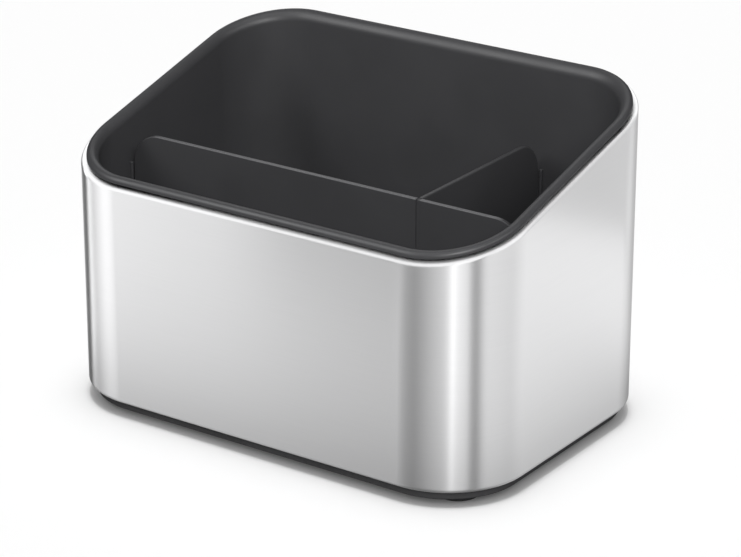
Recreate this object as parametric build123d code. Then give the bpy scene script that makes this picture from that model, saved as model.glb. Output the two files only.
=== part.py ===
from build123d import *
import os
from math import atan2, degrees

# Kitchen sink caddy. All lengths are in millimetres.
# X runs across the width, the low front faces -Y, Z is up.
# The origin is the middle of the footprint, on the surface that the feet stand on.

# Overall form: a rounded rectangle in plan, with a flat top that rises to the rear
width = 185.0
depth = 126.3
corner_radius = 31.3
front_height = 88.5
rear_height = 122.4

# Steel sleeve: one thin sheet, rolled in at its top and bottom edges
sheet = 0.6
top_roll = 1.5
top_lip = 3.0
bottom_roll = 2.0
bottom_lip = 5.0

# Base: a band under the sleeve, a snap bead over the sleeve's lower lip, a low tray inside
base_lift = 1.5
band_height = 4.0
band_setback = 3.1
band_edge = 0.8
base_floor = 2.5
base_fit = 0.1
bead_height = 1.6
bead_reach = 1.2
tray_wall = 1.8
tray_depth = 6.5

# Rubber feet, each bonded into a round recess under the base
foot_radius = 7.8
foot_setback = 18.0
foot_recess = 1.0
foot_fit = 0.2
foot_edge = 0.4

# Inner bin: hangs by its rim on the sleeve's upper lip and lifts straight out
bin_gap = 1.2
bin_wall = 2.4
bin_floor = 2.0
bin_lift = 1.5
floor_round = 5.0
rim_overlap = 1.0
rim_gap = 0.3
rim_thickness = 2.2
rim_outer_share = 0.18
rim_inner_share = 0.6

# Drain slots through the bin's floor
drain_length = 16.0
drain_width = 3.0
drain_pitch = 11.0
drain_margin = 8.0

# Lift-out dividers and the guides that hold their ends
divider_thickness = 1.8
divider_edge = 0.5
divider_fit = 0.3
divider_play = 0.8
divider_drop = 5.8
divider_corner = 12.0
front_room = 34.35
side_room = 43.5
guide_reach = 2.6
guide_thickness = 1.5
guide_drop = 11.5
guide_edge = 0.5

# Joint between the two dividers: a tongue that drops into an open slot
tongue_thickness = 1.2
tongue_setback = 0.3
slot_fit = 0.25
slot_depth = 63.0

# One overrun for every cut that has to pass through
overrun = 5.0

# Levels and insets that follow from the sizes above
half_width = width / 2
half_depth = depth / 2
slope = (rear_height - front_height) / depth
slope_angle = degrees(atan2(rear_height - front_height, depth))
above_all = rear_height + overrun + rim_thickness

sleeve_bottom = base_lift + band_height
lip_top = sleeve_bottom + sheet
tray_floor = base_lift + base_floor
tray_top = tray_floor + tray_depth
waist_inset = bottom_lip + base_fit

bin_inset = top_lip + bin_gap
room_inset = bin_inset + bin_wall
rim_inset = top_lip - rim_overlap
rim_width = room_inset - rim_inset
bin_bottom = tray_top + bin_lift
room_floor = bin_bottom + bin_floor

room_half_width = half_width - room_inset
room_half_depth = half_depth - room_inset
long_front = front_room - room_half_depth
long_middle = long_front + divider_thickness / 2
long_rear = long_front + divider_thickness
cross_right = room_half_width - side_room
cross_middle = cross_right - divider_thickness / 2
cross_left = cross_right - divider_thickness
divider_bottom = room_floor + divider_fit
divider_top = front_height + slope * (long_middle + half_depth) - divider_drop
divider_height = divider_top - divider_bottom
guide_top = divider_top - guide_drop
slot_width = tongue_thickness + 2 * slot_fit
slot_bottom = divider_top - slot_depth


def plan(inset):
    """The caddy's plan, drawn in by inset on every side."""
    return RectangleRounded(width - 2 * inset, depth - 2 * inset, corner_radius - inset)


def column(inset, bottom, top):
    """An upright solid on the plan, between two levels."""
    return Pos(0, 0, bottom) * extrude(plan(inset), top - bottom)


def slope_block(offset, side):
    """A block on one side of the sloping top, with its face offset square to the slope."""
    span = width + depth + rear_height
    block = Box(span, span, span, align=(Align.CENTER, Align.CENTER, side))
    return Location((0, -half_depth, front_height), (slope_angle, 0, 0)) * Pos(0, 0, offset) * block


def above_slope(offset):
    return slope_block(offset, Align.MIN)


def below_slope(offset):
    return slope_block(offset, Align.MAX)


def rolled_form(inset, top_round, bottom_round):
    """The sleeve's form at one face of its sheet, rounded at the top and bottom edges."""
    form = column(inset, sleeve_bottom + inset, above_all) - above_slope(-inset)
    form = fillet(form.faces().sort_by(Axis.Z)[-1].edges(), top_round)
    return fillet(form.faces().sort_by(Axis.Z)[0].edges(), bottom_round)


def make_outer_sleeve():
    """Thin steel sleeve, open at both ends inside its rolled lips."""
    outside = rolled_form(0, top_roll, bottom_roll)
    inside = rolled_form(sheet, top_roll - sheet, bottom_roll - sheet)
    middle = (sleeve_bottom + front_height) / 2
    top_mouth = column(top_lip, middle, above_all)
    bottom_mouth = column(bottom_lip, 0, middle)
    return outside - inside - top_mouth - bottom_mouth


def foot_places():
    """The four feet by name, with their centres in plan."""
    x = half_width - foot_setback
    y = half_depth - foot_setback
    return {
        "foot_front_left": (-x, -y),
        "foot_front_right": (x, -y),
        "foot_rear_left": (-x, y),
        "foot_rear_right": (x, y),
    }


def make_base_tray():
    """Base with its visible band, the waist and bead that hold the sleeve, and a shallow tray."""
    band = column(band_setback, base_lift, sleeve_bottom)
    band = fillet(band.faces().sort_by(Axis.Z)[0].edges(), band_edge)
    waist = column(waist_inset, sleeve_bottom, tray_top)
    bead_bottom = lip_top + base_fit
    bead = column(waist_inset - bead_reach, bead_bottom, bead_bottom + bead_height)
    bead = chamfer(bead.faces().sort_by(Axis.Z)[-1].edges(), bead_reach / 2)
    hollow = column(waist_inset + tray_wall, tray_floor, tray_top + overrun)
    base = band + waist + bead - hollow
    recess = Cylinder(foot_radius + foot_fit, foot_recess + overrun,
                      align=(Align.CENTER, Align.CENTER, Align.MAX))
    for x, y in foot_places().values():
        base -= Pos(x, y, base_lift + foot_recess) * recess
    return base


def make_foot(x, y):
    """Rubber disc that stands proud of the base."""
    foot = Cylinder(foot_radius, base_lift + foot_recess, align=(Align.CENTER, Align.CENTER, Align.MIN))
    foot = fillet(foot.faces().sort_by(Axis.Z)[0].edges(), foot_edge)
    return Pos(x, y, 0) * foot


def rim_edges(body, outer):
    """The outer or the inner edges of the rim's sloping top face."""
    slope_plane = Plane(Location((0, -half_depth, front_height), (slope_angle, 0, 0)))
    top = body.faces().filter_by(slope_plane).sort_by(Axis.Z)[-1]
    wire = top.outer_wire() if outer else top.inner_wires()[0]
    return wire.edges()


def guide_rib(x, y, along_x, along_y):
    """One upright guide rib on the bin's wall, rounded at its top."""
    rib = Box(along_x, along_y, guide_top - bin_bottom, align=(Align.CENTER, Align.CENTER, Align.MIN))
    rib = fillet(rib.edges().group_by(Axis.Z)[-1], guide_edge)
    return Pos(x, y, bin_bottom) * rib


def guide_ribs():
    """Pairs of ribs: at both ends of the long divider, and at the cross divider's rear end."""
    rib_length = guide_reach + bin_wall / 2
    rib_offset = divider_thickness / 2 + divider_fit + guide_thickness / 2
    side_x = room_half_width - guide_reach + rib_length / 2
    rear_y = room_half_depth - guide_reach + rib_length / 2
    ribs = []
    for step in (-rib_offset, rib_offset):
        ribs.append(guide_rib(-side_x, long_middle + step, rib_length, guide_thickness))
        ribs.append(guide_rib(side_x, long_middle + step, rib_length, guide_thickness))
        ribs.append(guide_rib(cross_middle + step, rear_y, guide_thickness, rib_length))
    return ribs


def drain_rows(left, right, front, rear):
    """Drain slots that fill one compartment's floor, each slot running front to rear."""
    across = max(1, int((right - left - 2 * drain_margin) / drain_pitch) + 1)
    rows = max(1, int((rear - front - 2 * drain_margin) / (drain_length + drain_margin)))
    slot = extrude(SlotOverall(drain_length, drain_width, rotation=90), bin_floor + 2 * overrun)
    slots = []
    for row in range(rows):
        y = front + (rear - front) * (row + 0.5) / rows
        for place in range(across):
            x = (left + right) / 2 + (place - (across - 1) / 2) * drain_pitch
            slots.append(Pos(x, y, bin_bottom - overrun) * slot)
    return slots


def make_inner_bin():
    """Moulded bin: rim, walls, rounded floor with drain slots, and guide ribs."""
    shell = column(bin_inset, bin_bottom, above_all)
    shell = fillet(shell.faces().sort_by(Axis.Z)[0].edges(), floor_round + bin_floor)
    rim = column(rim_inset, bin_bottom, above_all) - below_slope(rim_gap)
    body = (shell + rim) - above_slope(rim_gap + rim_thickness)
    room = column(room_inset, room_floor, above_all + overrun)
    room = fillet(room.faces().sort_by(Axis.Z)[0].edges(), floor_round)
    body = body - room
    body = fillet(rim_edges(body, outer=True), rim_width * rim_outer_share)
    body = fillet(rim_edges(body, outer=False), rim_width * rim_inner_share)
    for rib in guide_ribs():
        body += rib & shell
    drained_half_width = room_half_width - (corner_radius - room_inset) / 2
    body -= drain_rows(-drained_half_width, drained_half_width, -room_half_depth, long_front)
    body -= drain_rows(-drained_half_width, cross_left, long_rear, room_half_depth)
    body -= drain_rows(cross_right, drained_half_width, long_rear, room_half_depth)
    return body


def rounded_panel(length, top_corners, bottom_corners):
    """An upright panel in the XZ plane, centred on the origin, standing on the XY plane.

    The corners are radii at the left and right ends, or 0 for a square corner."""
    face = Rectangle(length, divider_height, align=(Align.CENTER, Align.MIN))
    for level, radii in ((0, bottom_corners), (-1, top_corners)):
        for end, radius in zip((0, -1), radii):
            if radius:
                corner = face.vertices().group_by(Axis.Y)[level].sort_by(Axis.X)[end]
                face = fillet(corner, radius)
    panel = Plane.XZ * extrude(face, divider_thickness / 2, both=True)
    broad_faces = panel.faces().filter_by(Axis.Y)
    return fillet(broad_faces.edges(), divider_edge)


def make_long_divider():
    """Divider across the full width, with the open slot for the cross divider's tongue."""
    length = 2 * (room_half_width - divider_play)
    panel = rounded_panel(length, (divider_corner, divider_corner), (floor_round, floor_round))
    panel = Pos(0, long_middle, divider_bottom) * panel
    slot = Box(slot_width, divider_thickness + 2 * overrun, slot_depth + overrun,
               align=(Align.CENTER, Align.CENTER, Align.MIN))
    return panel - Pos(cross_middle, long_middle, slot_bottom) * slot


def make_cross_divider():
    """Divider from the long divider back to the rear wall, with its tongue in the slot."""
    front = long_rear + divider_fit
    rear = room_half_depth - divider_play
    panel = rounded_panel(rear - front, (0, divider_corner), (0, floor_round))
    panel = Pos(cross_middle, (front + rear) / 2, divider_bottom) * Rot(0, 0, 90) * panel
    tongue_length = front - long_front - tongue_setback + overrun
    tongue_top = divider_top - divider_edge
    tongue = Box(tongue_thickness, tongue_length, tongue_top - slot_bottom - divider_fit,
                 align=(Align.CENTER, Align.MIN, Align.MAX))
    return panel + Pos(cross_middle, long_front + tongue_setback, tongue_top) * tongue


os.makedirs("parts", exist_ok=True)
export_step(make_outer_sleeve(), "parts/outer_sleeve.step")
export_step(make_base_tray(), "parts/base_tray.step")
export_step(make_inner_bin(), "parts/inner_bin.step")
export_step(make_long_divider(), "parts/long_divider.step")
export_step(make_cross_divider(), "parts/cross_divider.step")
for foot_name, (foot_x, foot_y) in foot_places().items():
    export_step(make_foot(foot_x, foot_y), f"parts/{foot_name}.step")
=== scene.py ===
"""Kitchen sink caddy: a brushed steel sleeve round a lift-out moulded bin, on a low dark base."""

import math

import bmesh
import bpy
from bpy.props import FloatProperty, FloatVectorProperty, IntProperty, PointerProperty
from bpy.types import Operator, Panel, PropertyGroup
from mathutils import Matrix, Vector


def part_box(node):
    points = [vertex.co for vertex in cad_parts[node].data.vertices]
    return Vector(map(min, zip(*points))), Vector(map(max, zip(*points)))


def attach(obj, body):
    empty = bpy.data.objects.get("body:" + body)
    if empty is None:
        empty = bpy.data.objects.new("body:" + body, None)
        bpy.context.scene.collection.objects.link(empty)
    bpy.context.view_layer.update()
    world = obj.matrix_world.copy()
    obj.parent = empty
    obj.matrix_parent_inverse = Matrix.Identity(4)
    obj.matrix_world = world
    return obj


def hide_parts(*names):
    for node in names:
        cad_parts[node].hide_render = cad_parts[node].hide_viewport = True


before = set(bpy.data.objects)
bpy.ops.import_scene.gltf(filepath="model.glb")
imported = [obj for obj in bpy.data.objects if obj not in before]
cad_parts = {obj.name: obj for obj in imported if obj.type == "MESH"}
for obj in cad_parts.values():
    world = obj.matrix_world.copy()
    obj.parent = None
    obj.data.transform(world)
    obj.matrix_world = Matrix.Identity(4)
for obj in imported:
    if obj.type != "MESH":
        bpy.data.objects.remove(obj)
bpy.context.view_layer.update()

bl_info = {
    "name": "Kitchen sink caddy",
    "version": (1, 0, 0),
    "blender": (4, 5, 0),
    "location": "3D View > Sidebar > Sink Caddy",
    "description": "Models and finishes the pieces of a kitchen sink caddy round its frame",
    "category": "Object",
}

# Boxes of the frame's nodes, which the sizes below start from
SLEEVE_LOW, SLEEVE_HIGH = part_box("outer_sleeve")
BIN_LOW, BIN_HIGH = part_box("inner_bin")
BASE_LOW, BASE_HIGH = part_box("base_tray")
LONG_LOW, LONG_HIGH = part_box("long_divider")
CROSS_LOW, CROSS_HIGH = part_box("cross_divider")
FOOT_NODES = ("foot_front_left", "foot_front_right", "foot_rear_left", "foot_rear_right")

LONG_MIDDLE = (LONG_LOW.y + LONG_HIGH.y) / 2
LONG_THICKNESS = LONG_HIGH.y - LONG_LOW.y
CROSS_MIDDLE = (CROSS_LOW.x + CROSS_HIGH.x) / 2
CROSS_THICKNESS = CROSS_HIGH.x - CROSS_LOW.x

MM = 0.001
UP = Vector((0, 0, 1))
DOWN = Vector((0, 0, -1))

# A face points one way when its cosine to that way is over the first, and stands upright when its
# normal rises or falls by less than the second. Points closer than the third are merged.
SAME_WAY = 0.9999
UPRIGHT_LEAN = 0.01
MERGE_DISTANCE = 0.001 * MM

# Edges that turn by more than the sharp angle are softened, and shading stays smooth up to the other
SHARP_ANGLE = math.radians(60)
SMOOTH_ANGLE = math.radians(35)
EDGE_SOFTENING = 0.1 * MM
SHEET_SOFTENING = 0.12 * MM

# A guide rib's rounding, how deep its root sits in the wall, and its gap to the bin's floor
RIB_ROUND = 0.45 * MM
RIB_ROOT = 0.4 * MM
RIB_LIFT = 0.15 * MM

# A block that the slope cuts starts this many times as high as the sleeve's rear, and a drain slot's ends
# are rounded by just under half its width, so that no two points fall together
BLOCK_SHARE = 1.2
ROUND_END_SHARE = 0.4999

# Faces across each rounding, and round each foot and studio tube
ROLL_STEPS = 8
RIM_OUTER_STEPS = 6
RIM_INNER_STEPS = 12
FLOOR_STEPS = 10
PANEL_CORNER_STEPS = 16
FINE_STEPS = 4
DRAIN_STEPS = 8
FOOT_STEPS = 5
FOOT_TOP_STEPS = 2
FOOT_SIDES = 64
TUBE_SIDES = 180

# The bin's gloss, and where the painted highlight along the long divider's top edge starts and is full,
# from its top
BIN_ROUGHNESS = 0.42
HIGHLIGHT_START = 0.5 * MM
HIGHLIGHT_FULL = 0.1 * MM


def length(name, description, default):
    """A length in metres that a user may change."""
    return FloatProperty(name=name, description=description, default=default, min=0.0,
                         precision=5, unit="LENGTH", subtype="DISTANCE")


def colour(name, description, red, green, blue):
    """A surface colour that a user may change."""
    return FloatVectorProperty(name=name, description=description, default=(red, green, blue, 1.0),
                               size=4, min=0.0, max=1.0, subtype="COLOR")


def share(name, description, default):
    """A plain number from 0 to 1."""
    return FloatProperty(name=name, description=description, default=default,
                         min=0.0, max=1.0, subtype="FACTOR")


def turn(name, description, degrees):
    """An angle that a user may change."""
    return FloatProperty(name=name, description=description, default=math.radians(degrees),
                         unit="ROTATION", subtype="ANGLE")


class CaddySizes(PropertyGroup):
    """Sizes of the caddy's pieces."""

    width: length("Width", "Across the sleeve", SLEEVE_HIGH.x - SLEEVE_LOW.x)
    depth: length("Depth", "Front to rear over the sleeve", SLEEVE_HIGH.y - SLEEVE_LOW.y)
    corner: length("Corner radius", "Upright corners of the sleeve", 31.3 * MM)
    front_height: length("Front height", "Top of the sleeve at its front", 88.5 * MM)
    rear_height: length("Rear height", "Top of the sleeve at its rear, before the edge is rolled",
                        122.4 * MM)
    corner_steps: IntProperty(name="Corner steps", description="Faces round each upright corner",
                              default=40, min=4, max=96)

    sheet: length("Sheet", "Thickness of the steel", 0.6 * MM)
    top_roll: length("Top roll", "Radius of the sleeve's rolled top edge", 1.1 * MM)
    top_lip: length("Top lip", "Width of the sleeve's upper lip", 3.0 * MM)
    bottom_roll: length("Bottom roll", "Radius of the sleeve's rolled bottom edge", 2.0 * MM)
    bottom_lip: length("Bottom lip", "Width of the sleeve's lower lip", 5.0 * MM)

    rim_gap: length("Rim gap", "Between the sleeve's lip and the bin's rim", 0.7 * MM)
    rim_thickness: length("Rim thickness", "Height of the bin's rim", 1.8 * MM)
    rim_outer_round: length("Rim outer rounding", "Depth of the rim's outer rounding", 1.35 * MM)
    rim_inner_round: length("Rim inner rounding", "Depth of the rim's inner rounding", 3.2 * MM)
    bin_inset: length("Bin inset", "From the sleeve's face to the bin's wall", 4.2 * MM)
    bin_wall: length("Bin wall", "Thickness of the bin's wall", 2.4 * MM)
    bin_floor: length("Bin floor", "Thickness of the bin's floor", 2.0 * MM)
    floor_round: length("Floor rounding", "Radius inside the bin's floor edge", 5.0 * MM)
    guide_reach: length("Guide reach", "How far a guide rib stands out of the wall", 1.1 * MM)
    guide_thickness: length("Guide thickness", "Thickness of a guide rib", 1.2 * MM)
    guide_drop: length("Guide drop", "From the top of the dividers to the top of the guide ribs", 11.5 * MM)
    guide_fit: length("Guide clearance", "Between a divider and a guide rib", 0.3 * MM)

    drain_length: length("Drain length", "Length of a drain slot", 16.0 * MM)
    drain_width: length("Drain width", "Width of a drain slot", 3.0 * MM)
    drain_pitch: length("Drain pitch", "From one drain slot to the next", 11.0 * MM)
    drain_margin: length("Drain margin", "Plain floor beside the drain slots", 8.0 * MM)

    divider_corner: length("Divider corner", "Radius of a divider's upper corners", 12.0 * MM)
    divider_foot: length("Divider foot", "Radius of a divider's lower corners", 5.0 * MM)
    divider_edge: length("Divider edge", "Rounding along a divider's edges", 0.4 * MM)
    slot_width: length("Slot width", "Width of the slot for the tongue", 1.7 * MM)
    slot_depth: length("Slot depth", "Depth of the slot from the divider's top", 63.0 * MM)
    tongue: length("Tongue", "Thickness of the tongue in the slot", 1.62 * MM)
    tongue_sink: length("Tongue sink", "From the long divider's face back to the tongue", 0.05 * MM)
    tongue_fit: length("Tongue clearance", "Between the tongue's end and the slot's end", 0.3 * MM)

    base_band: length("Base band", "Height of the band that shows under the sleeve", 3.5 * MM)
    base_edge: length("Base edge", "Rounding under the band", 0.8 * MM)
    base_floor: length("Base floor", "Thickness of the base", 2.5 * MM)
    base_fit: length("Base clearance", "Between the base and the sleeve's lower lip", 0.1 * MM)
    bead_height: length("Bead height", "Height of the bead over the sleeve's lower lip", 1.6 * MM)
    bead_reach: length("Bead reach", "How far the bead stands out", 1.2 * MM)
    tray_wall: length("Tray wall", "Thickness of the base tray's wall", 1.8 * MM)
    foot_edge: length("Foot edge", "Rounding under a foot", 0.4 * MM)
    foot_recess: length("Foot recess", "Depth of a foot's recess in the base", 1.0 * MM)
    foot_fit: length("Foot clearance", "Round a foot in its recess", 0.2 * MM)


class CaddyFinishes(PropertyGroup):
    """Colours and textures of the caddy's surfaces."""

    steel: colour("Steel", "Brushed stainless steel", 0.60, 0.60, 0.605)
    steel_dark: colour("Steel grooves", "Steel in the brushed grooves", 0.585, 0.585, 0.59)
    steel_roughness: share("Steel roughness", "Satin finish of the steel", 0.28)
    bin_plastic: colour("Bin", "Moulded plastic of the bin and its dividers", 0.050, 0.050, 0.053)
    # Painted highlight: a paler colour along the long divider's top edge that stands in for the light it
    # catches
    painted_edge_highlight: colour("Painted edge highlight", "The same plastic along the long divider's top edge", 0.095, 0.095, 0.1)
    base_plastic: colour("Base", "Moulded plastic of the base", 0.050, 0.050, 0.052)
    rubber: colour("Feet", "Rubber of the feet", 0.030, 0.030, 0.031)
    line_spacing: length("Line spacing", "Between brushed lines", 0.22 * MM)
    line_length: length("Line length", "Length of the brushed lines", 30.0 * MM)
    grain: length("Grain", "Size of the moulded plastic's fine texture", 0.28 * MM)


class CaddyStage(PropertyGroup):
    """Camera, floor and lamps of the studio."""

    azimuth: turn("Azimuth", "Camera's turn to the right of the front", 34.905)
    elevation: turn("Elevation", "Camera's angle above the floor", 21.799)
    distance: length("Distance", "From the camera to its target", 1061.58 * MM)
    target: FloatVectorProperty(name="Target", description="Point that the camera looks at",
                                default=(21.728 * MM, -22.337 * MM, 60.0 * MM), subtype="TRANSLATION")
    lens: FloatProperty(name="Lens", description="Focal length in millimetres", default=145.77, min=1.0)
    floor_size: length("Floor size", "Side of the square floor", 12.0)
    floor_tone: share("Floor tone", "Colour of the pale floor", 0.82)
    # Painted shade: the floor that mirrors see is darker near the caddy, down to this share
    floor_near: share("Mirrored near floor", "Light that mirrors get through the floor near the caddy", 0.5)
    floor_reach: length("Mirrored reach", "Distance over which the mirrored floor grows lighter", 0.085)
    floor_lift: share("Floor lift", "Glow that brings the open floor to white", 0.07)
    fill: FloatProperty(name="Fill", description="Strength of the even light from all round", default=0.33)
    softbox_size: length("Softbox size", "Side of each softbox round the caddy", 0.5)
    softbox_distance: length("Softbox distance", "From the caddy to each softbox", 1.3)
    ring_radius: length("Ring radius", "Radius of the ring of panels that the steel mirrors", 2.8)
    ring_top: length("Ring top", "Height of the ring's upper edge", 1.0)
    ring_depth: length("Ring depth", "How far the ring reaches below the floor", 4.8)
    ring_peak: FloatProperty(name="Ring peak", description="Strength of the brightest panel", default=3.0)
    band_top: length("High band top", "Height of the bright band's upper edge", 2.8)
    band_tone: FloatProperty(name="High band tone", description="Brightness of the band above the ring",
                             default=2.0, min=0.0)
    ceiling_tone: FloatProperty(name="Ceiling tone", description="Brightness of the ceiling over the band",
                                default=1.5, min=0.0)


# Plan and slope


def slope_up(sizes):
    """The direction square to the caddy's sloping top."""
    rise = sizes.rear_height - sizes.front_height
    return Vector((0, -rise, sizes.depth)).normalized()


def slope_point(sizes, offset=0.0):
    """A point on the sloping top, or on a plane at an offset from it."""
    return Vector((0, -sizes.depth / 2, sizes.front_height)) + slope_up(sizes) * offset


# Edit mode helpers


def clear_selection():
    if bpy.context.mode != "OBJECT":
        bpy.ops.object.mode_set(mode="OBJECT")
    bpy.ops.object.select_all(action="DESELECT")


def name_new_piece(name):
    """Names the object just added, and puts its place into its mesh."""
    piece = bpy.context.object
    piece.name = name
    piece.data.name = name
    bpy.ops.object.transform_apply(location=True, rotation=True, scale=True)
    return piece


def select_only(piece):
    """Makes a piece the only selected object, and the active one."""
    clear_selection()
    piece.select_set(True)
    bpy.context.view_layer.objects.active = piece


def pick(kind, test):
    """Selects the faces or edges that pass the test, and nothing else."""
    bpy.ops.mesh.select_mode(type=kind)
    bpy.ops.mesh.select_all(action="DESELECT")
    shape = bmesh.from_edit_mesh(bpy.context.edit_object.data)
    shape.normal_update()
    for part in shape.faces if kind == "FACE" else shape.edges:
        part.select_set(bool(test(part)))
    bmesh.update_edit_mesh(bpy.context.edit_object.data)


def facing(direction):
    """A test for faces that look one way."""
    return lambda face: face.normal.dot(direction) > SAME_WAY


def round_edges(radius, steps, kind="WIDTH"):
    """Rounds the selected edges. A width suits a square edge and is shared out on a sharper one."""
    width = radius * math.sqrt(2) if kind == "WIDTH" else radius
    bpy.ops.mesh.bevel(offset=width, offset_type=kind, segments=steps,
                       profile=0.5, affect="EDGES", clamp_overlap=False)


def round_outline(test, radius, steps, kind="WIDTH"):
    """Rounds the outline of the faces that pass the test."""
    pick("FACE", test)
    bpy.ops.mesh.region_to_loop()
    round_edges(radius, steps, kind)


def recalculate():
    """Merges doubles and points every face outwards."""
    bpy.ops.mesh.select_mode(type="FACE")
    bpy.ops.mesh.select_all(action="SELECT")
    bpy.ops.mesh.remove_doubles(threshold=MERGE_DISTANCE)
    bpy.ops.mesh.normals_make_consistent(inside=False)


def column(name, sizes, inset, bottom, top):
    """An upright block on the caddy's plan, left in edit mode."""
    clear_selection()
    bpy.ops.mesh.primitive_plane_add(size=1, location=(0, 0, bottom))
    piece = name_new_piece(name)
    bpy.ops.object.mode_set(mode="EDIT")
    bpy.ops.transform.resize(value=(sizes.width - 2 * inset, sizes.depth - 2 * inset, 1))
    bpy.ops.mesh.bevel(offset=sizes.corner - inset, segments=sizes.corner_steps,
                       affect="VERTICES", clamp_overlap=False)
    bpy.ops.mesh.select_all(action="SELECT")
    bpy.ops.mesh.extrude_region_move(TRANSFORM_OT_translate={"value": (0, 0, top - bottom)})
    recalculate()
    return piece


def cut_off(point, direction):
    """Cuts the piece by a plane, takes away what lies on the side of the direction, and closes the cut."""
    bpy.ops.mesh.select_all(action="SELECT")
    bpy.ops.mesh.bisect(plane_co=point, plane_no=direction, use_fill=True, clear_outer=True)
    recalculate()


def extrude_to(level, inset=0.0):
    """Insets the selected faces, extrudes them straight up or down and lays them flat at a level."""
    if inset:
        bpy.ops.mesh.inset(thickness=inset, use_even_offset=True)
    bpy.ops.mesh.extrude_region_move(TRANSFORM_OT_translate={"value": (0, 0, 0)})
    bpy.ops.transform.resize(value=(1, 1, 0), center_override=(0, 0, level))


def apply_modifier(modifier):
    """Applies a modifier to the piece that carries it."""
    select_only(modifier.id_data)
    bpy.ops.object.modifier_apply(modifier=modifier.name)


def combine(piece, other, operation):
    """Joins another solid to a piece, or cuts it out, and removes the other solid."""
    modifier = piece.modifiers.new("combine", "BOOLEAN")
    modifier.operation = operation
    modifier.solver = "EXACT"
    modifier.object = other
    apply_modifier(modifier)
    bpy.data.objects.remove(other, do_unlink=True)


def join_up(pieces, name):
    """Makes one object of several loose ones."""
    select_only(pieces[0])
    for piece in pieces:
        piece.select_set(True)
    bpy.ops.object.join()
    pieces[0].name = name
    return pieces[0]


def soften_edges(piece, width=EDGE_SOFTENING):
    """Takes the sharpness off every sharp edge."""
    modifier = piece.modifiers.new("soften", "BEVEL")
    modifier.width = width
    modifier.segments = 2
    modifier.limit_method = "ANGLE"
    modifier.angle_limit = SHARP_ANGLE
    modifier.use_clamp_overlap = True
    modifier.miter_outer = "MITER_ARC"
    apply_modifier(modifier)


def finish_surface(piece):
    """Smooth shading that keeps flat faces flat and real edges crisp."""
    select_only(piece)
    bpy.ops.object.mode_set(mode="EDIT")
    recalculate()
    bpy.ops.mesh.select_all(action="DESELECT")
    bpy.ops.object.mode_set(mode="OBJECT")
    bpy.ops.object.shade_smooth_by_angle(angle=SMOOTH_ANGLE)
    modifier = piece.modifiers.new("flat faces", "WEIGHTED_NORMAL")
    modifier.mode = "FACE_AREA"
    modifier.weight = 60
    modifier.keep_sharp = True
    apply_modifier(modifier)


def stand_in(piece, node, body, material):
    """Gives a finished piece its material, hangs it on its body and hides the frame node that it stands in
    for.
    """
    piece.data.materials.clear()
    piece.data.materials.append(material)
    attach(piece, body)
    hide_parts(node)


# Materials


def new_group(name, inputs, outputs):
    """A shader node group with named sockets, and its input and output nodes."""
    tree = bpy.data.node_groups.new(name, "ShaderNodeTree")
    for label, kind, value in inputs:
        socket = tree.interface.new_socket(label, in_out="INPUT", socket_type=kind)
        if value is not None:
            socket.default_value = value
    for label, kind in outputs:
        tree.interface.new_socket(label, in_out="OUTPUT", socket_type=kind)
    return tree, tree.nodes.new("NodeGroupInput"), tree.nodes.new("NodeGroupOutput")


def feed(tree, value, place):
    """Links a socket to a node's input, or sets the input to a plain value."""
    if isinstance(value, bpy.types.NodeSocket):
        tree.links.new(value, place)
    else:
        place.default_value = value


def math_node(tree, operation, first, second):
    """A math node fed by sockets or numbers. Gives its output socket."""
    node = tree.nodes.new("ShaderNodeMath")
    node.operation = operation
    feed(tree, first, node.inputs[0])
    feed(tree, second, node.inputs[1])
    return node.outputs[0]


def noise_node(tree, vector, scale, detail, roughness):
    """A noise texture. Gives its value output."""
    node = tree.nodes.new("ShaderNodeTexNoise")
    tree.links.new(vector, node.inputs["Vector"])
    feed(tree, scale, node.inputs["Scale"])
    node.inputs["Detail"].default_value = detail
    node.inputs["Roughness"].default_value = roughness
    return node.outputs[0]


def range_node(tree, value, low, high, new_low=0.0, new_high=1.0):
    """A map range node with a smooth step. Gives its output socket."""
    node = tree.nodes.new("ShaderNodeMapRange")
    node.interpolation_type = "SMOOTHSTEP"
    tree.links.new(value, node.inputs["Value"])
    node.inputs["From Min"].default_value = low
    node.inputs["From Max"].default_value = high
    node.inputs["To Min"].default_value = new_low
    node.inputs["To Max"].default_value = new_high
    return node.outputs["Result"]


def colour_mix(tree, mask, first, second):
    """Mixes two colours, given as values or sockets, by a mask. Gives the colour socket."""
    node = tree.nodes.new("ShaderNodeMix")
    node.data_type = "RGBA"
    tree.links.new(mask, node.inputs["Factor"])
    feed(tree, first, node.inputs["A"])
    feed(tree, second, node.inputs["B"])
    return node.outputs["Result"]


def coordinates(tree, source="Object"):
    """The X, Y and Z sockets of a piece's own space, or of its UV map."""
    where = tree.nodes.new("ShaderNodeTexCoord")
    parts = tree.nodes.new("ShaderNodeSeparateXYZ")
    tree.links.new(where.outputs[source], parts.inputs["Vector"])
    return parts.outputs


def node_of(tree, kind):
    """The tree's one node of a kind."""
    return next(node for node in tree.nodes if node.type == kind)


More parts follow.
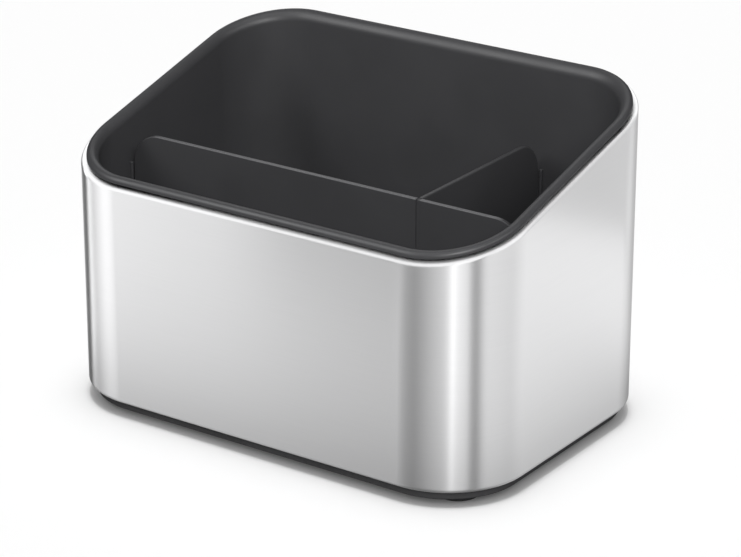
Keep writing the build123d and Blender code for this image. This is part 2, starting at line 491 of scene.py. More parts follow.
def brushed_lines_group():
    """Long fine scratches that run level round the sleeve, and broad soft bands among them."""
    name = "Brushed lines"
    if name in bpy.data.node_groups:
        return bpy.data.node_groups[name]
    tree, given, result = new_group(
        name,
        [("Position", "NodeSocketVector", None), ("Spacing", "NodeSocketFloat", 0.2 * MM),
         ("Length", "NodeSocketFloat", 30 * MM)],
        [("Lines", "NodeSocketFloat"), ("Bands", "NodeSocketFloat")],
    )
    along = math_node(tree, "DIVIDE", 1.0, given.outputs["Length"])
    across = math_node(tree, "DIVIDE", 1.0, given.outputs["Spacing"])
    stretch = tree.nodes.new("ShaderNodeCombineXYZ")
    tree.links.new(along, stretch.inputs["X"])
    tree.links.new(along, stretch.inputs["Y"])
    tree.links.new(across, stretch.inputs["Z"])
    scaled = tree.nodes.new("ShaderNodeVectorMath")
    scaled.operation = "MULTIPLY"
    tree.links.new(given.outputs["Position"], scaled.inputs[0])
    tree.links.new(stretch.outputs["Vector"], scaled.inputs[1])
    fine = noise_node(tree, scaled.outputs["Vector"], scale=1.0, detail=3.0, roughness=0.6)
    broad = noise_node(tree, scaled.outputs["Vector"], scale=0.12, detail=2.0, roughness=0.5)
    tree.links.new(range_node(tree, fine, 0.25, 0.75), result.inputs["Lines"])
    tree.links.new(range_node(tree, broad, 0.3, 0.7), result.inputs["Bands"])
    return tree


def moulded_grain_group():
    """The fine even texture of a spark-eroded mould, and faint clouds of tone and sheen."""
    name = "Moulded grain"
    if name in bpy.data.node_groups:
        return bpy.data.node_groups[name]
    tree, given, result = new_group(
        name,
        [("Position", "NodeSocketVector", None), ("Size", "NodeSocketFloat", 0.3 * MM)],
        [("Height", "NodeSocketFloat"), ("Tone", "NodeSocketFloat")],
    )
    scale = math_node(tree, "DIVIDE", 1.0, given.outputs["Size"])
    pits = tree.nodes.new("ShaderNodeTexVoronoi")
    pits.feature = "SMOOTH_F1"
    tree.links.new(given.outputs["Position"], pits.inputs["Vector"])
    tree.links.new(scale, pits.inputs["Scale"])
    swell_scale = math_node(tree, "MULTIPLY", scale, 0.5)
    swells = noise_node(tree, given.outputs["Position"], swell_scale, detail=3.0, roughness=0.6)
    tree.links.new(math_node(tree, "ADD", pits.outputs["Distance"], swells), result.inputs["Height"])
    cloud_scale = math_node(tree, "MULTIPLY", scale, 0.008)
    clouds = noise_node(tree, given.outputs["Position"], cloud_scale, detail=3.0, roughness=0.5)
    tree.links.new(range_node(tree, clouds, 0.3, 0.7), result.inputs["Tone"])
    return tree


def bare_material(name):
    """A material with nothing but its output. Gives the material, its tree and the surface's input."""
    material = bpy.data.materials.new(name)
    material.use_nodes = True
    tree = material.node_tree
    tree.nodes.clear()
    output = tree.nodes.new("ShaderNodeOutputMaterial")
    return material, tree, output.inputs["Surface"]


def new_material(name):
    """A material with a plain Principled shader. Gives the material, its tree and the shader."""
    material, tree, surface = bare_material(name)
    shader = tree.nodes.new("ShaderNodeBsdfPrincipled")
    tree.links.new(shader.outputs["BSDF"], surface)
    return material, tree, shader


def place_group(tree, group, **values):
    """Puts a node group into a material, reading object coordinates, with its own values."""
    node = tree.nodes.new("ShaderNodeGroup")
    node.node_tree = group
    where = tree.nodes.new("ShaderNodeTexCoord")
    tree.links.new(where.outputs["Object"], node.inputs["Position"])
    for label, value in values.items():
        node.inputs[label].default_value = value
    return node


def vary_roughness(tree, shader, mask, middle, spread):
    """Lets the shader's roughness follow a mask, by a spread to both sides of its middle value."""
    tree.links.new(range_node(tree, mask, 0.0, 1.0, middle - spread, middle + spread),
                   shader.inputs["Roughness"])


def add_bump(tree, shader, height, strength, distance):
    """Feeds a height to the shader's normal."""
    bump = tree.nodes.new("ShaderNodeBump")
    bump.inputs["Strength"].default_value = strength
    bump.inputs["Distance"].default_value = distance
    tree.links.new(height, bump.inputs["Height"])
    tree.links.new(bump.outputs["Normal"], shader.inputs["Normal"])


def brushed_steel(finishes):
    """Satin stainless steel, brushed level round the sleeve."""
    if "Brushed steel" in bpy.data.materials:
        return bpy.data.materials["Brushed steel"]
    material, tree, shader = new_material("Brushed steel")
    lines = place_group(tree, brushed_lines_group(),
                        Spacing=finishes.line_spacing, Length=finishes.line_length)
    tone = colour_mix(tree, lines.outputs["Lines"], finishes.steel_dark, finishes.steel)
    tree.links.new(tone, shader.inputs["Base Color"])
    vary_roughness(tree, shader, lines.outputs["Bands"], finishes.steel_roughness, spread=0.004)
    shader.inputs["Metallic"].default_value = 1.0
    shader.inputs["Anisotropic"].default_value = 1.0
    shader.inputs["Anisotropic Rotation"].default_value = 0.25
    around = tree.nodes.new("ShaderNodeTangent")
    around.direction_type = "RADIAL"
    around.axis = "Z"
    tree.links.new(around.outputs["Tangent"], shader.inputs["Tangent"])
    add_bump(tree, shader, lines.outputs["Lines"], strength=0.02, distance=0.02 * MM)
    return material


def moulded_plastic(finishes, name, tint, roughness, grain_share=1.0):
    """Dark moulded plastic with a fine even texture."""
    if name in bpy.data.materials:
        return bpy.data.materials[name]
    material, tree, shader = new_material(name)
    grain = place_group(tree, moulded_grain_group(), Size=finishes.grain * grain_share)
    dark_share = 0.92
    darker = [part * dark_share for part in tint[:3]] + [1.0]
    tree.links.new(colour_mix(tree, grain.outputs["Tone"], darker, tint), shader.inputs["Base Color"])
    vary_roughness(tree, shader, grain.outputs["Tone"], roughness, spread=0.03)
    shader.inputs["IOR"].default_value = 1.5
    shader.inputs["Specular IOR Level"].default_value = 0.5
    add_bump(tree, shader, grain.outputs["Height"], strength=0.12, distance=0.03 * MM)
    return material


def bin_material(finishes):
    return moulded_plastic(finishes, "Bin plastic", finishes.bin_plastic, BIN_ROUGHNESS)


def long_divider_painted_highlight_material(finishes):
    """The bin's plastic with a painted highlight: a paler colour along the divider's thin top edge,
    standing in for the light that catches it.
    """
    material = moulded_plastic(finishes, "Divider plastic painted highlight", finishes.bin_plastic, BIN_ROUGHNESS)
    tree = material.node_tree
    base_colour = node_of(tree, "BSDF_PRINCIPLED").inputs["Base Color"]
    # Painted highlight: the colour turns paler near the divider's top edge
    painted_highlight_mask = range_node(tree, coordinates(tree)["Z"], LONG_HIGH.z - HIGHLIGHT_START, LONG_HIGH.z - HIGHLIGHT_FULL)
    plain = base_colour.links[0].from_socket
    tree.links.new(colour_mix(tree, painted_highlight_mask, plain, finishes.painted_edge_highlight), base_colour)
    return material


def base_material(finishes):
    return moulded_plastic(finishes, "Base plastic", finishes.base_plastic, roughness=0.55)


def rubber_material(finishes):
    return moulded_plastic(finishes, "Foot rubber", finishes.rubber, roughness=0.75, grain_share=0.7)


# Pieces


def make_sleeve(sizes):
    """The rolled steel sleeve: one sheet with a lip at the top and another at the bottom."""
    bottom = BASE_LOW.z + sizes.base_band
    above = sizes.rear_height * BLOCK_SHARE
    piece = column("sleeve", sizes, 0.0, bottom, above)
    cut_off(slope_point(sizes), slope_up(sizes))
    round_outline(facing(slope_up(sizes)), sizes.top_roll, ROLL_STEPS)
    round_outline(facing(DOWN), sizes.bottom_roll, ROLL_STEPS)
    recalculate()
    sheet = piece.modifiers.new("sheet", "SOLIDIFY")
    sheet.thickness = sizes.sheet
    sheet.offset = -1.0
    sheet.use_even_offset = True
    apply_modifier(sheet)
    middle = (bottom + sizes.front_height) / 2
    top_mouth = column("top mouth", sizes, sizes.top_lip, middle, above)
    combine(piece, top_mouth, "DIFFERENCE")
    bottom_mouth = column("bottom mouth", sizes, sizes.bottom_lip, 0.0, middle)
    combine(piece, bottom_mouth, "DIFFERENCE")
    soften_edges(piece, SHEET_SOFTENING)
    finish_surface(piece)
    return piece


def make_guide_rib(sizes, x, y, along_x, along_y):
    """One upright guide rib, rounded on its edges, with its root in the bin's wall."""
    clear_selection()
    bottom = BIN_LOW.z + sizes.bin_floor + RIB_LIFT
    top = LONG_HIGH.z - sizes.guide_drop
    bpy.ops.mesh.primitive_cube_add(size=1, location=(x, y, (bottom + top) / 2),
                                    scale=(along_x, along_y, top - bottom))
    rib = name_new_piece("guide rib")
    bpy.ops.object.mode_set(mode="EDIT")
    bpy.ops.mesh.select_all(action="SELECT")
    round_edges(RIB_ROUND, FINE_STEPS)
    recalculate()
    clear_selection()
    return rib


def make_guide_ribs(sizes):
    """Pairs of ribs at both ends of the long divider and at the cross divider's rear end."""
    room = sizes.bin_inset + sizes.bin_wall
    side_x = sizes.width / 2 - room
    rear_y = sizes.depth / 2 - room
    rib_length = sizes.guide_reach + RIB_ROOT
    offset = LONG_THICKNESS / 2 + sizes.guide_fit + sizes.guide_thickness / 2
    ribs = []
    for step in (-offset, offset):
        for side in (-1, 1):
            x = side * (side_x + RIB_ROOT - rib_length / 2)
            ribs.append(make_guide_rib(sizes, x, LONG_MIDDLE + step, rib_length, sizes.guide_thickness))
        y = rear_y + RIB_ROOT - rib_length / 2
        ribs.append(make_guide_rib(sizes, CROSS_MIDDLE + step, y, sizes.guide_thickness, rib_length))
    return join_up(ribs, "guide ribs")


def make_drain_slot(sizes):
    """The cutter for one drain slot, round at both ends, centred on the origin."""
    clear_selection()
    bpy.ops.mesh.primitive_plane_add(size=1, location=(0, 0, 0))
    slot = name_new_piece("drain slot")
    bpy.ops.object.mode_set(mode="EDIT")
    bpy.ops.transform.resize(value=(sizes.drain_width, sizes.drain_length, 1))
    bpy.ops.mesh.bevel(offset=sizes.drain_width * ROUND_END_SHARE, segments=DRAIN_STEPS,
                       affect="VERTICES", clamp_overlap=False)
    bpy.ops.mesh.select_all(action="SELECT")
    height = 4 * sizes.bin_floor
    bpy.ops.mesh.extrude_region_move(TRANSFORM_OT_translate={"value": (0, 0, height)})
    recalculate()
    clear_selection()
    return slot


def drain_places(sizes, left, right, front, rear):
    """The middles of the drain slots that fill one compartment's floor."""
    across = max(1, int((right - left - 2 * sizes.drain_margin) / sizes.drain_pitch) + 1)
    rows = max(1, int((rear - front - 2 * sizes.drain_margin) / (sizes.drain_length + sizes.drain_margin)))
    places = []
    for row in range(rows):
        y = front + (rear - front) * (row + 0.5) / rows
        for place in range(across):
            x = (left + right) / 2 + (place - (across - 1) / 2) * sizes.drain_pitch
            places.append((x, y))
    return places


def make_drains(sizes):
    """The cutters for all drain slots, as one object."""
    room = sizes.bin_inset + sizes.bin_wall
    half_depth = sizes.depth / 2 - room
    drained = sizes.width / 2 - room - (sizes.corner - room) / 2
    half_panel = CROSS_THICKNESS / 2
    places = drain_places(sizes, -drained, drained, -half_depth, LONG_LOW.y)
    places += drain_places(sizes, -drained, CROSS_MIDDLE - half_panel, LONG_HIGH.y, half_depth)
    places += drain_places(sizes, CROSS_MIDDLE + half_panel, drained, LONG_HIGH.y, half_depth)
    first = make_drain_slot(sizes)
    slots = []
    for x, y in places:
        slot = first.copy()
        slot.data = first.data.copy()
        slot.location = (x, y, BIN_LOW.z - sizes.bin_floor)
        bpy.context.scene.collection.objects.link(slot)
        slots.append(slot)
    bpy.data.objects.remove(first, do_unlink=True)
    cutter = join_up(slots, "drain slots")
    bpy.ops.object.transform_apply(location=True, rotation=True, scale=True)
    return cutter


def make_bin(sizes):
    """The moulded bin: rim, walls, rounded floor with drain slots, and guide ribs."""
    up = slope_up(sizes)
    rim_inset = SLEEVE_HIGH.x - BIN_HIGH.x
    room_inset = sizes.bin_inset + sizes.bin_wall
    rim_width = room_inset - rim_inset
    room_floor = BIN_LOW.z + sizes.bin_floor
    piece = column("bin", sizes, rim_inset, BIN_LOW.z, sizes.rear_height * BLOCK_SHARE)
    cut_off(slope_point(sizes, sizes.rim_gap + sizes.rim_thickness), up)
    cut_off(slope_point(sizes, sizes.rim_gap), -up)
    round_outline(facing(up), sizes.rim_outer_round, RIM_OUTER_STEPS, "OFFSET")
    pick("FACE", facing(up))
    extrude_to(room_floor, inset=rim_width - sizes.rim_outer_round)
    bpy.ops.mesh.region_to_loop()
    round_edges(sizes.floor_round, FLOOR_STEPS)
    pick("EDGE", lambda edge: joins_rim_and_wall(edge, up))
    round_edges(sizes.rim_inner_round, RIM_INNER_STEPS, "OFFSET")
    pick("FACE", facing(-up))
    extrude_to(BIN_LOW.z, inset=sizes.bin_inset - rim_inset)
    bpy.ops.mesh.region_to_loop()
    round_edges(sizes.floor_round + sizes.bin_floor, FLOOR_STEPS)
    recalculate()
    combine(piece, make_guide_ribs(sizes), "UNION")
    combine(piece, make_drains(sizes), "DIFFERENCE")
    finish_surface(piece)
    return piece


def joins_rim_and_wall(edge, up):
    """True for an edge between the rim's flat top and the upright wall inside it."""
    if len(edge.link_faces) != 2:
        return False
    first, second = sorted(edge.link_faces, key=lambda face: face.normal.dot(up))
    return second.normal.dot(up) > SAME_WAY and abs(first.normal.z) < UPRIGHT_LEAN


def make_panel(name, centre, span, thickness_axis, corners, edge):
    """An upright panel with round corners and rounded edges, left in object mode.

    The corners map a side of the panel, as (across, up) signs, to a radius."""
    clear_selection()
    across = Vector((0, 1, 0)) if thickness_axis.x else Vector((1, 0, 0))
    bpy.ops.mesh.primitive_cube_add(size=1, location=centre, scale=span)
    panel = name_new_piece(name)
    bpy.ops.object.mode_set(mode="EDIT")
    for (side, level), radius in corners.items():
        pick("EDGE", lambda e: all(
            (v.co - centre).dot(across) * side > 0 and (v.co.z - centre.z) * level > 0
            for v in e.verts) and abs((e.verts[0].co - e.verts[1].co).dot(thickness_axis)) > edge)
        round_edges(radius, PANEL_CORNER_STEPS)
    round_outline(lambda face: abs(face.normal.dot(thickness_axis)) > SAME_WAY, edge, FINE_STEPS)
    recalculate()
    clear_selection()
    return panel


def make_box(name, low, high):
    """A plain box between two corners, for cutting or joining."""
    clear_selection()
    bpy.ops.mesh.primitive_cube_add(size=1, location=(low + high) / 2, scale=high - low)
    return name_new_piece(name)


def make_long_divider(sizes):
    """The panel across the full width, with the slot for the cross divider's tongue."""
    centre = (LONG_LOW + LONG_HIGH) / 2
    span = LONG_HIGH - LONG_LOW
    corners = {(-1, 1): sizes.divider_corner, (1, 1): sizes.divider_corner,
               (-1, -1): sizes.divider_foot, (1, -1): sizes.divider_foot}
    panel = make_panel("divider_long", centre, span, Vector((0, 1, 0)), corners, sizes.divider_edge)
    half = sizes.slot_width / 2
    clear = 2 * LONG_THICKNESS
    slot = make_box("slot",
                    Vector((CROSS_MIDDLE - half, LONG_LOW.y - clear, LONG_HIGH.z - sizes.slot_depth)),
                    Vector((CROSS_MIDDLE + half, LONG_HIGH.y + clear, LONG_HIGH.z + clear)))
    combine(panel, slot, "DIFFERENCE")
    soften_edges(panel)
    finish_surface(panel)
    return panel


def make_cross_divider(sizes):
    """The panel from the long divider back to the rear wall, with its tongue."""
    low = Vector((CROSS_LOW.x, LONG_HIGH.y + sizes.tongue_fit, CROSS_LOW.z))
    centre = (low + CROSS_HIGH) / 2
    corners = {(1, 1): sizes.divider_corner, (1, -1): sizes.divider_foot}
    panel = make_panel("divider_cross", centre, CROSS_HIGH - low, Vector((1, 0, 0)), corners,
                       sizes.divider_edge)
    half = sizes.tongue / 2
    bottom = LONG_HIGH.z - sizes.slot_depth + sizes.tongue_fit
    root = low.y + 2 * CROSS_THICKNESS
    tongue = make_box("tongue", Vector((CROSS_MIDDLE - half, CROSS_LOW.y + sizes.tongue_sink, bottom)),
                      Vector((CROSS_MIDDLE + half, root, CROSS_HIGH.z - sizes.divider_edge)))
    combine(panel, tongue, "UNION")
    soften_edges(panel)
    finish_surface(panel)
    return panel


def make_base(sizes):
    """The base: visible band, waist and bead that hold the sleeve, shallow tray, foot recesses."""
    band_inset = SLEEVE_HIGH.x - BASE_HIGH.x
    band_top = BASE_LOW.z + sizes.base_band
    lip_top = band_top + sizes.sheet
    bead_bottom = lip_top + sizes.base_fit
    bead_top = bead_bottom + sizes.bead_height
    waist = sizes.bottom_lip + sizes.base_fit
    bead = waist - sizes.bead_reach
    slant = sizes.bead_reach / 2
    steps = (
        (waist, band_top), (waist, bead_bottom), (bead, bead_bottom), (bead, bead_top - slant),
        (bead + slant, bead_top), (waist, bead_top), (waist, BASE_HIGH.z),
        (waist + sizes.tray_wall, BASE_HIGH.z), (waist + sizes.tray_wall, BASE_LOW.z + sizes.base_floor),
    )
    piece = column("base", sizes, band_inset, BASE_LOW.z, band_top)
    round_outline(facing(DOWN), sizes.base_edge, FINE_STEPS)
    pick("FACE", facing(UP))
    inset, level = band_inset, band_top
    for next_inset, next_level in steps:
        bpy.ops.mesh.extrude_region_move(TRANSFORM_OT_translate={"value": (0, 0, next_level - level)})
        wider = (sizes.width - 2 * next_inset) / (sizes.width - 2 * inset)
        deeper = (sizes.depth - 2 * next_inset) / (sizes.depth - 2 * inset)
        bpy.ops.transform.resize(value=(wider, deeper, 1), center_override=(0, 0, next_level))
        inset, level = next_inset, next_level
    recalculate()
    recesses = []
    for node in FOOT_NODES:
        low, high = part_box(node)
        clear_selection()
        bpy.ops.mesh.primitive_cylinder_add(
            vertices=FOOT_SIDES, radius=(high.x - low.x) / 2 + sizes.foot_fit, depth=2 * sizes.foot_recess,
            location=((low.x + high.x) / 2, (low.y + high.y) / 2, BASE_LOW.z))
        recesses.append(name_new_piece("recess"))
    combine(piece, join_up(recesses, "recesses"), "DIFFERENCE")
    soften_edges(piece)
    finish_surface(piece)
    return piece


def make_foot(sizes, node):
    """One rubber foot, rounded underneath."""
    low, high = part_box(node)
    clear_selection()
    bpy.ops.mesh.primitive_cylinder_add(vertices=FOOT_SIDES, radius=(high.x - low.x) / 2,
                                        depth=high.z - low.z, location=(low + high) / 2)
    foot = name_new_piece(node.replace("foot", "pad"))
    bpy.ops.object.mode_set(mode="EDIT")
    round_outline(facing(DOWN), sizes.foot_edge, FOOT_STEPS)
    round_outline(facing(UP), sizes.foot_edge / 4, FOOT_TOP_STEPS)
    finish_surface(foot)
    return foot


# Stage

# The pieces that the softboxes light, which are all but the sleeve
PLASTIC_PIECES = ("bin", "divider_long", "divider_cross", "base", "pad_front_left", "pad_front_right",
                  "pad_rear_left", "pad_rear_right")

# Lights straight overhead: apparent size in degrees, and strength
OVERHEADS = (
    ("overhead_small", 2.8, 1.12),
    ("overhead_middle", 25.0, 0.72),
    ("overhead_wide", 75.0, 0.62),
)

# Softboxes: turn from the front and angle above the floor in degrees, and power in watts
SOFTBOXES = (
    ("softbox_high_left", -52, 52, 2.4),
    ("softbox_front_left", -40, 35, 3.8),
    ("softbox_front_right", 40, 35, 9.6),
    ("softbox_right", 90, 40, 2.4),
    ("softbox_rear_left", -140, 34, 0.8),
    ("softbox_above", 0, 85, 1.8),
)

# Panels round the studio: turn from the front in degrees, and strength. Between two the light blends.
RING_PANELS = (
    (-180, 0.68), (-157, 0.6), (-143, 1.95), (-134, 1.75), (-123, 0.75), (-115, 0.3), (-103, 0.0),
    (-97, 0.2), (-90, 3.0), (-85, 1.0), (-80, 0.9), (-72, 1.36), (-57, 1.86), (-48, 1.74), (-40.2, 1.43),
    (-32.6, 0.86), (-20.5, 0.48), (-8, 0.41), (3.6, 0.62), (27.5, 1.07), (33.4, 1.36), (39.3, 2.15),
    (45.3, 1.63), (57.5, 1.37), (63, 0.68), (69, 0.42), (75, 0.88), (80.8, 1.27), (118, 1.12),
    (147, 1.52), (168, 1.11), (180, 0.65),
)

# Grey nets beside the walls, each thinning the light that the steel mirrors there: name, middle in mm,
# turn about the upright axis and slant of the lower edge in degrees, length and height in mm, share of the
# light let through, and share of the length over which the net thickens.
NETS = (
    ("net_right", (112.5, 58.7, 153.1), 0, 23, 110, 160, 0.68, 0.01),
    ("net_front", (-19, -123, 84), -90, 4, 90, 70, 0.66, 0.55),
)


def make_floor(stage):
    """A plain pale floor that keeps the caddy's shadow."""
    clear_selection()
    bpy.ops.mesh.primitive_plane_add(size=stage.floor_size, location=(0, 0, 0))
    floor = name_new_piece("floor")
    floor.data.materials.append(floor_material(stage))


def floor_material(stage):
    """A dull pale surface with a slight glow, which mirrors look through."""
    material, tree, surface = bare_material("Pale floor")
    shader = tree.nodes.new("ShaderNodeBsdfPrincipled")
    shader.inputs["Base Color"].default_value = (stage.floor_tone, stage.floor_tone, stage.floor_tone, 1.0)
    shader.inputs["Roughness"].default_value = 1.0
    shader.inputs["Specular IOR Level"].default_value = 0.0
    glow = tree.nodes.new("ShaderNodeEmission")
    tree.links.new(math_node(tree, "MULTIPLY", seen_directly(tree), stage.floor_lift),
                   glow.inputs["Strength"])
    both = tree.nodes.new("ShaderNodeAddShader")
    tree.links.new(shader.outputs["BSDF"], both.inputs[0])
    tree.links.new(glow.outputs["Emission"], both.inputs[1])
    clear = tree.nodes.new("ShaderNodeBsdfTransparent")
    tree.links.new(mirrored_floor_painted_shade(tree, stage), clear.inputs["Color"])
    path = tree.nodes.new("ShaderNodeLightPath")
    mix = tree.nodes.new("ShaderNodeMixShader")
    tree.links.new(path.outputs["Is Glossy Ray"], mix.inputs["Fac"])
    tree.links.new(both.outputs["Shader"], mix.inputs[1])
    tree.links.new(clear.outputs["BSDF"], mix.inputs[2])
    tree.links.new(mix.outputs["Shader"], surface)
    return material


def mirrored_floor_painted_shade(tree, stage):
    """How much mirrors see through the floor: less beside the caddy, a painted shade that stands in for the
    shade the caddy casts there.
    """
    where = tree.nodes.new("ShaderNodeTexCoord")
    previous = where.outputs["Object"]
    steps = (("ABSOLUTE", None), ("SUBTRACT", (SLEEVE_HIGH.x, SLEEVE_HIGH.y, 0)), ("MAXIMUM", (0, 0, 0)))
    for operation, second in steps:
        node = tree.nodes.new("ShaderNodeVectorMath")
        node.operation = operation
        tree.links.new(previous, node.inputs[0])
        if second:
            node.inputs[1].default_value = second
        previous = node.outputs["Vector"]
    distance = tree.nodes.new("ShaderNodeVectorMath")
    distance.operation = "LENGTH"
    tree.links.new(previous, distance.inputs[0])
    return range_node(tree, distance.outputs["Value"], 0.0, stage.floor_reach, new_low=stage.floor_near)


def seen_directly(tree):
    """1 for camera and transmission rays, which show the white background."""
    path = tree.nodes.new("ShaderNodeLightPath")
    return math_node(tree, "MAXIMUM", path.outputs["Is Camera Ray"], path.outputs["Is Transmission Ray"])


def make_world(stage):
    """White behind everything, and an even fill light from all round."""
    world = bpy.data.worlds.new("Studio")
    bpy.context.scene.world = world
    world.use_nodes = True
    tree = world.node_tree
    tree.nodes.clear()
    mix = tree.nodes.new("ShaderNodeMixShader")
    tree.links.new(seen_directly(tree), mix.inputs["Fac"])
    seen_strength = 1.0
    for place, strength in ((1, stage.fill), (2, seen_strength)):
        light = tree.nodes.new("ShaderNodeBackground")
        light.inputs["Color"].default_value = (1, 1, 1, 1)
        light.inputs["Strength"].default_value = strength
        tree.links.new(light.outputs["Background"], mix.inputs[place])
    output = tree.nodes.new("ShaderNodeOutputWorld")
    tree.links.new(mix.outputs["Shader"], output.inputs["Surface"])


def open_tube(name, radius, bottom, top):
    """A tube without ends round the origin, from one height to another."""
    clear_selection()
    bpy.ops.mesh.primitive_cylinder_add(vertices=TUBE_SIDES, radius=radius, depth=top - bottom,
                                        end_fill_type="NOTHING", location=(0, 0, (top + bottom) / 2))
    return name_new_piece(name)


def make_ring(stage):
    """A ring of soft panels and dark gaps that only mirrors see, as flags and reflectors in a studio."""
    ring = open_tube("studio_ring", stage.ring_radius, -stage.ring_depth, stage.ring_top)
    ring.data.materials.append(ring_material(stage))
    only_mirrored(ring)


def ring_material(stage):
    """A glow whose strength follows the direction, by the table of panels."""
    material = glowing("Studio panels", stage.ring_peak)
    tree = material.node_tree
    point = coordinates(tree)
    ahead = math_node(tree, "MULTIPLY", point["Y"], -1.0)
    angle = math_node(tree, "ARCTAN2", point["X"], ahead)
    place = math_node(tree, "ADD", math_node(tree, "DIVIDE", angle, 2 * math.pi), 0.5)
    ramp = tree.nodes.new("ShaderNodeValToRGB")
    tree.links.new(place, ramp.inputs["Fac"])
    stops = ramp.color_ramp.elements
    # A new ramp has two stops already, and the others are added
    for number, (degrees, strength) in enumerate(RING_PANELS):
        at = degrees / 360 + 0.5
        stop = stops[number] if number < 2 else stops.new(at)
        stop.position = at
        tone = strength / stage.ring_peak
        stop.color = (tone, tone, tone, 1.0)
    tree.links.new(ramp.outputs["Color"], node_of(tree, "EMISSION").inputs["Color"])
    return material


def make_nets():
    """The upright see-through nets that darken parts of what the steel mirrors."""
    for name, middle, turned, slant, length_mm, height_mm, passed, fade in NETS:
        clear_selection()
        bpy.ops.mesh.primitive_plane_add(size=1, location=Vector(middle) * MM)
        net = bpy.context.object
        net.rotation_mode = "YXZ"
        net.rotation_euler = (-math.radians(slant), math.pi / 2, math.radians(turned))
        net.scale = (height_mm * MM, length_mm * MM, 1)
        name_new_piece(name)
        net.data.materials.append(net_material(name, passed, fade))
        only_mirrored(net)


def net_material(name, passed, fade):
    """A clear surface that lets a share of the light through, and more towards one end."""
    material, tree, surface = bare_material(name)
    clear = tree.nodes.new("ShaderNodeBsdfTransparent")
    along = coordinates(tree, "UV")["Y"]
    tree.links.new(range_node(tree, along, 0.0, fade, 1.0, passed), clear.inputs["Color"])
    tree.links.new(clear.outputs["BSDF"], surface)
    return material


def make_high_band(stage):
    """A bright band above the ring, which the steel's rolled top edge mirrors as a white line."""
    band = open_tube("high_band", stage.ring_radius, stage.ring_top, stage.band_top)
    band.data.materials.append(glowing("High band", stage.band_tone))
    only_mirrored(band)


def make_ceiling(stage):
    """A pale ceiling on the band's upper edge, which the steel's flat lip mirrors."""
    clear_selection()
    bpy.ops.mesh.primitive_circle_add(vertices=TUBE_SIDES, radius=stage.ring_radius, fill_type="NGON",
                                      location=(0, 0, stage.band_top))
    ceiling = name_new_piece("studio_ceiling")
    ceiling.data.materials.append(glowing("Ceiling", stage.ceiling_tone))
    only_mirrored(ceiling)


def glowing(name, strength):
    """A material that only glows."""
    material, tree, surface = bare_material(name)
    glow = tree.nodes.new("ShaderNodeEmission")
    glow.inputs["Strength"].default_value = strength
    tree.links.new(glow.outputs["Emission"], surface)
    material.cycles.emission_sampling = "NONE"
    return material


def only_mirrored(thing):
    """Leaves a panel of the studio to the steel's reflections alone."""
    thing.visible_camera = False
    thing.visible_diffuse = False
    thing.visible_transmission = False
    thing.visible_volume_scatter = False
    thing.visible_shadow = False
    light_only(thing, thing.name + " pieces", ["sleeve"])


def toward(azimuth, elevation):
    """The direction from the caddy at an angle to the right of the front and above the floor."""
    return Vector((math.sin(azimuth) * math.cos(elevation), -math.cos(azimuth) * math.cos(elevation),
                   math.sin(elevation)))


def light_only(lamp, name, pieces):
    """Keeps a lamp's or a glowing panel's light to some of the pieces, as flags do in a studio."""
    group = bpy.data.collections.new(name)
    for piece in pieces:
        group.objects.link(bpy.data.objects[piece])
    lamp.light_linking.receiver_collection = group


def make_overheads():
    """The overhead lights that draw the caddy's narrow shadow on the floor."""
    for name, spread, strength in OVERHEADS:
        clear_selection()
        bpy.ops.object.light_add(type="SUN", location=(0, 0, 1))
        lamp = bpy.context.object
        lamp.name = name
        lamp.data.energy = strength
        lamp.data.angle = math.radians(spread)
        light_only(lamp, name + " pieces", ["floor"])


def make_softboxes(stage):
    """Square softboxes round the caddy that light all its pieces but the sleeve."""
    for name, azimuth, elevation, power in SOFTBOXES:
        direction = toward(math.radians(azimuth), math.radians(elevation))
        clear_selection()
        bpy.ops.object.light_add(type="AREA", location=direction * stage.softbox_distance)
        lamp = bpy.context.object
        lamp.name = name
        lamp.data.shape = "SQUARE"
        lamp.data.size = stage.softbox_size
        lamp.data.energy = power
        lamp.rotation_euler = direction.to_track_quat("Z", "Y").to_euler()
        light_only(lamp, name + " pieces", PLASTIC_PIECES)


def make_camera(stage):
    """The camera at the photograph's angle."""
    clear_selection()
    back = toward(stage.azimuth, stage.elevation)
    bpy.ops.object.camera_add(location=Vector(stage.target) + back * stage.distance)
    camera = bpy.context.object
    camera.name = "camera"
    camera.rotation_euler = (-back).to_track_quat("-Z", "Y").to_euler()
    camera.data.sensor_width = 36.0
    camera.data.sensor_fit = "HORIZONTAL"
    camera.data.lens = stage.lens
    camera.data.clip_end = 100.0
    bpy.context.scene.camera = camera


# Operators


class SINKCADDY_OT_sleeve(Operator):
    """Model the brushed steel sleeve"""

    bl_idname = "sink_caddy.sleeve"
    bl_label = "Steel sleeve"

    def execute(self, context):
        sleeve = make_sleeve(context.scene.caddy_sizes)
        stand_in(sleeve, "outer_sleeve", "shell",
                 brushed_steel(context.scene.caddy_finishes))
        return {"FINISHED"}


class SINKCADDY_OT_bin(Operator):
    """Model the lift-out bin with its rim, drains and guide ribs"""

    bl_idname = "sink_caddy.bin"
    bl_label = "Inner bin"

    def execute(self, context):
        inner = make_bin(context.scene.caddy_sizes)
        stand_in(inner, "inner_bin", "bin", bin_material(context.scene.caddy_finishes))
        return {"FINISHED"}


class SINKCADDY_OT_dividers(Operator):
    """Model the two lift-out dividers"""

    bl_idname = "sink_caddy.dividers"
    bl_label = "Dividers"

    def execute(self, context):
        sizes = context.scene.caddy_sizes
        finishes = context.scene.caddy_finishes
        stand_in(make_long_divider(sizes), "long_divider", "long_panel",
                 long_divider_painted_highlight_material(finishes))
        stand_in(make_cross_divider(sizes), "cross_divider", "cross_panel",
                 bin_material(finishes))
        return {"FINISHED"}


class SINKCADDY_OT_base(Operator):
    """Model the base tray that the sleeve snaps over"""

    bl_idname = "sink_caddy.base"
    bl_label = "Base tray"

    def execute(self, context):
        base = make_base(context.scene.caddy_sizes)
        stand_in(base, "base_tray", "shell", base_material(context.scene.caddy_finishes))
        return {"FINISHED"}


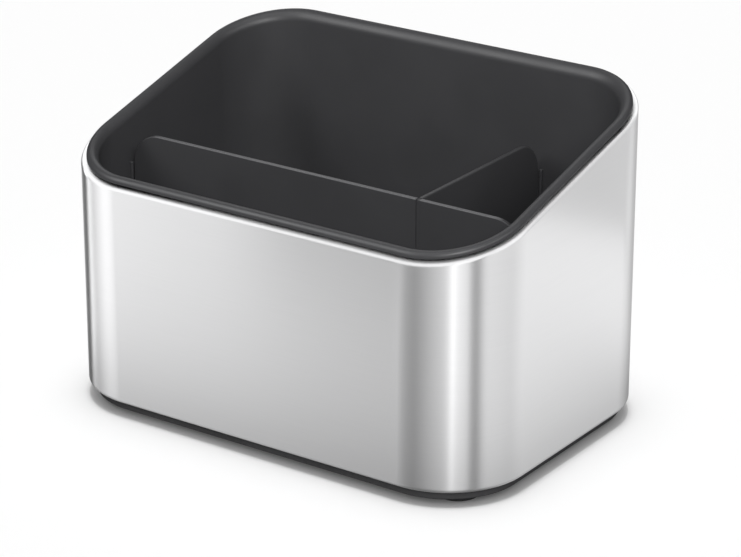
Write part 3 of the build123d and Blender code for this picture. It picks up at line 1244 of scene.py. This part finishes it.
class SINKCADDY_OT_feet(Operator):
    """Model the four rubber feet"""

    bl_idname = "sink_caddy.feet"
    bl_label = "Feet"

    def execute(self, context):
        material = rubber_material(context.scene.caddy_finishes)
        for node in FOOT_NODES:
            stand_in(make_foot(context.scene.caddy_sizes, node), node, "shell", material)
        return {"FINISHED"}


class SINKCADDY_OT_stage(Operator):
    """Set up the floor, the studio light and the camera"""

    bl_idname = "sink_caddy.stage"
    bl_label = "Stage"

    def execute(self, context):
        stage = context.scene.caddy_stage
        make_floor(stage)
        make_world(stage)
        make_ring(stage)
        make_nets()
        make_high_band(stage)
        make_ceiling(stage)
        make_overheads()
        make_softboxes(stage)
        make_camera(stage)
        context.scene.view_settings.view_transform = "Standard"
        return {"FINISHED"}


OPERATORS = (SINKCADDY_OT_sleeve, SINKCADDY_OT_bin, SINKCADDY_OT_dividers, SINKCADDY_OT_base,
             SINKCADDY_OT_feet, SINKCADDY_OT_stage)


class SINKCADDY_PT_panel(Panel):
    """Lists the caddy's sizes, finishes and pieces"""

    bl_label = "Sink caddy"
    bl_idname = "SINKCADDY_PT_panel"
    bl_space_type = "VIEW_3D"
    bl_region_type = "UI"
    bl_category = "Sink Caddy"

    def draw(self, context):
        for group in (context.scene.caddy_sizes, context.scene.caddy_finishes, context.scene.caddy_stage):
            box = self.layout.box()
            for name in group.__annotations__:
                box.prop(group, name)
        for operator in OPERATORS:
            self.layout.operator(operator.bl_idname)


CLASSES = (CaddySizes, CaddyFinishes, CaddyStage, *OPERATORS, SINKCADDY_PT_panel)


def register():
    for kind in CLASSES:
        bpy.utils.register_class(kind)
    bpy.types.Scene.caddy_sizes = PointerProperty(type=CaddySizes)
    bpy.types.Scene.caddy_finishes = PointerProperty(type=CaddyFinishes)
    bpy.types.Scene.caddy_stage = PointerProperty(type=CaddyStage)


def unregister():
    del bpy.types.Scene.caddy_stage
    del bpy.types.Scene.caddy_finishes
    del bpy.types.Scene.caddy_sizes
    for kind in reversed(CLASSES):
        bpy.utils.unregister_class(kind)


def main():
    register()
    bpy.ops.sink_caddy.sleeve()
    bpy.ops.sink_caddy.bin()
    bpy.ops.sink_caddy.dividers()
    bpy.ops.sink_caddy.base()
    bpy.ops.sink_caddy.feet()
    bpy.ops.sink_caddy.stage()


if __name__ == "__main__":
    main()
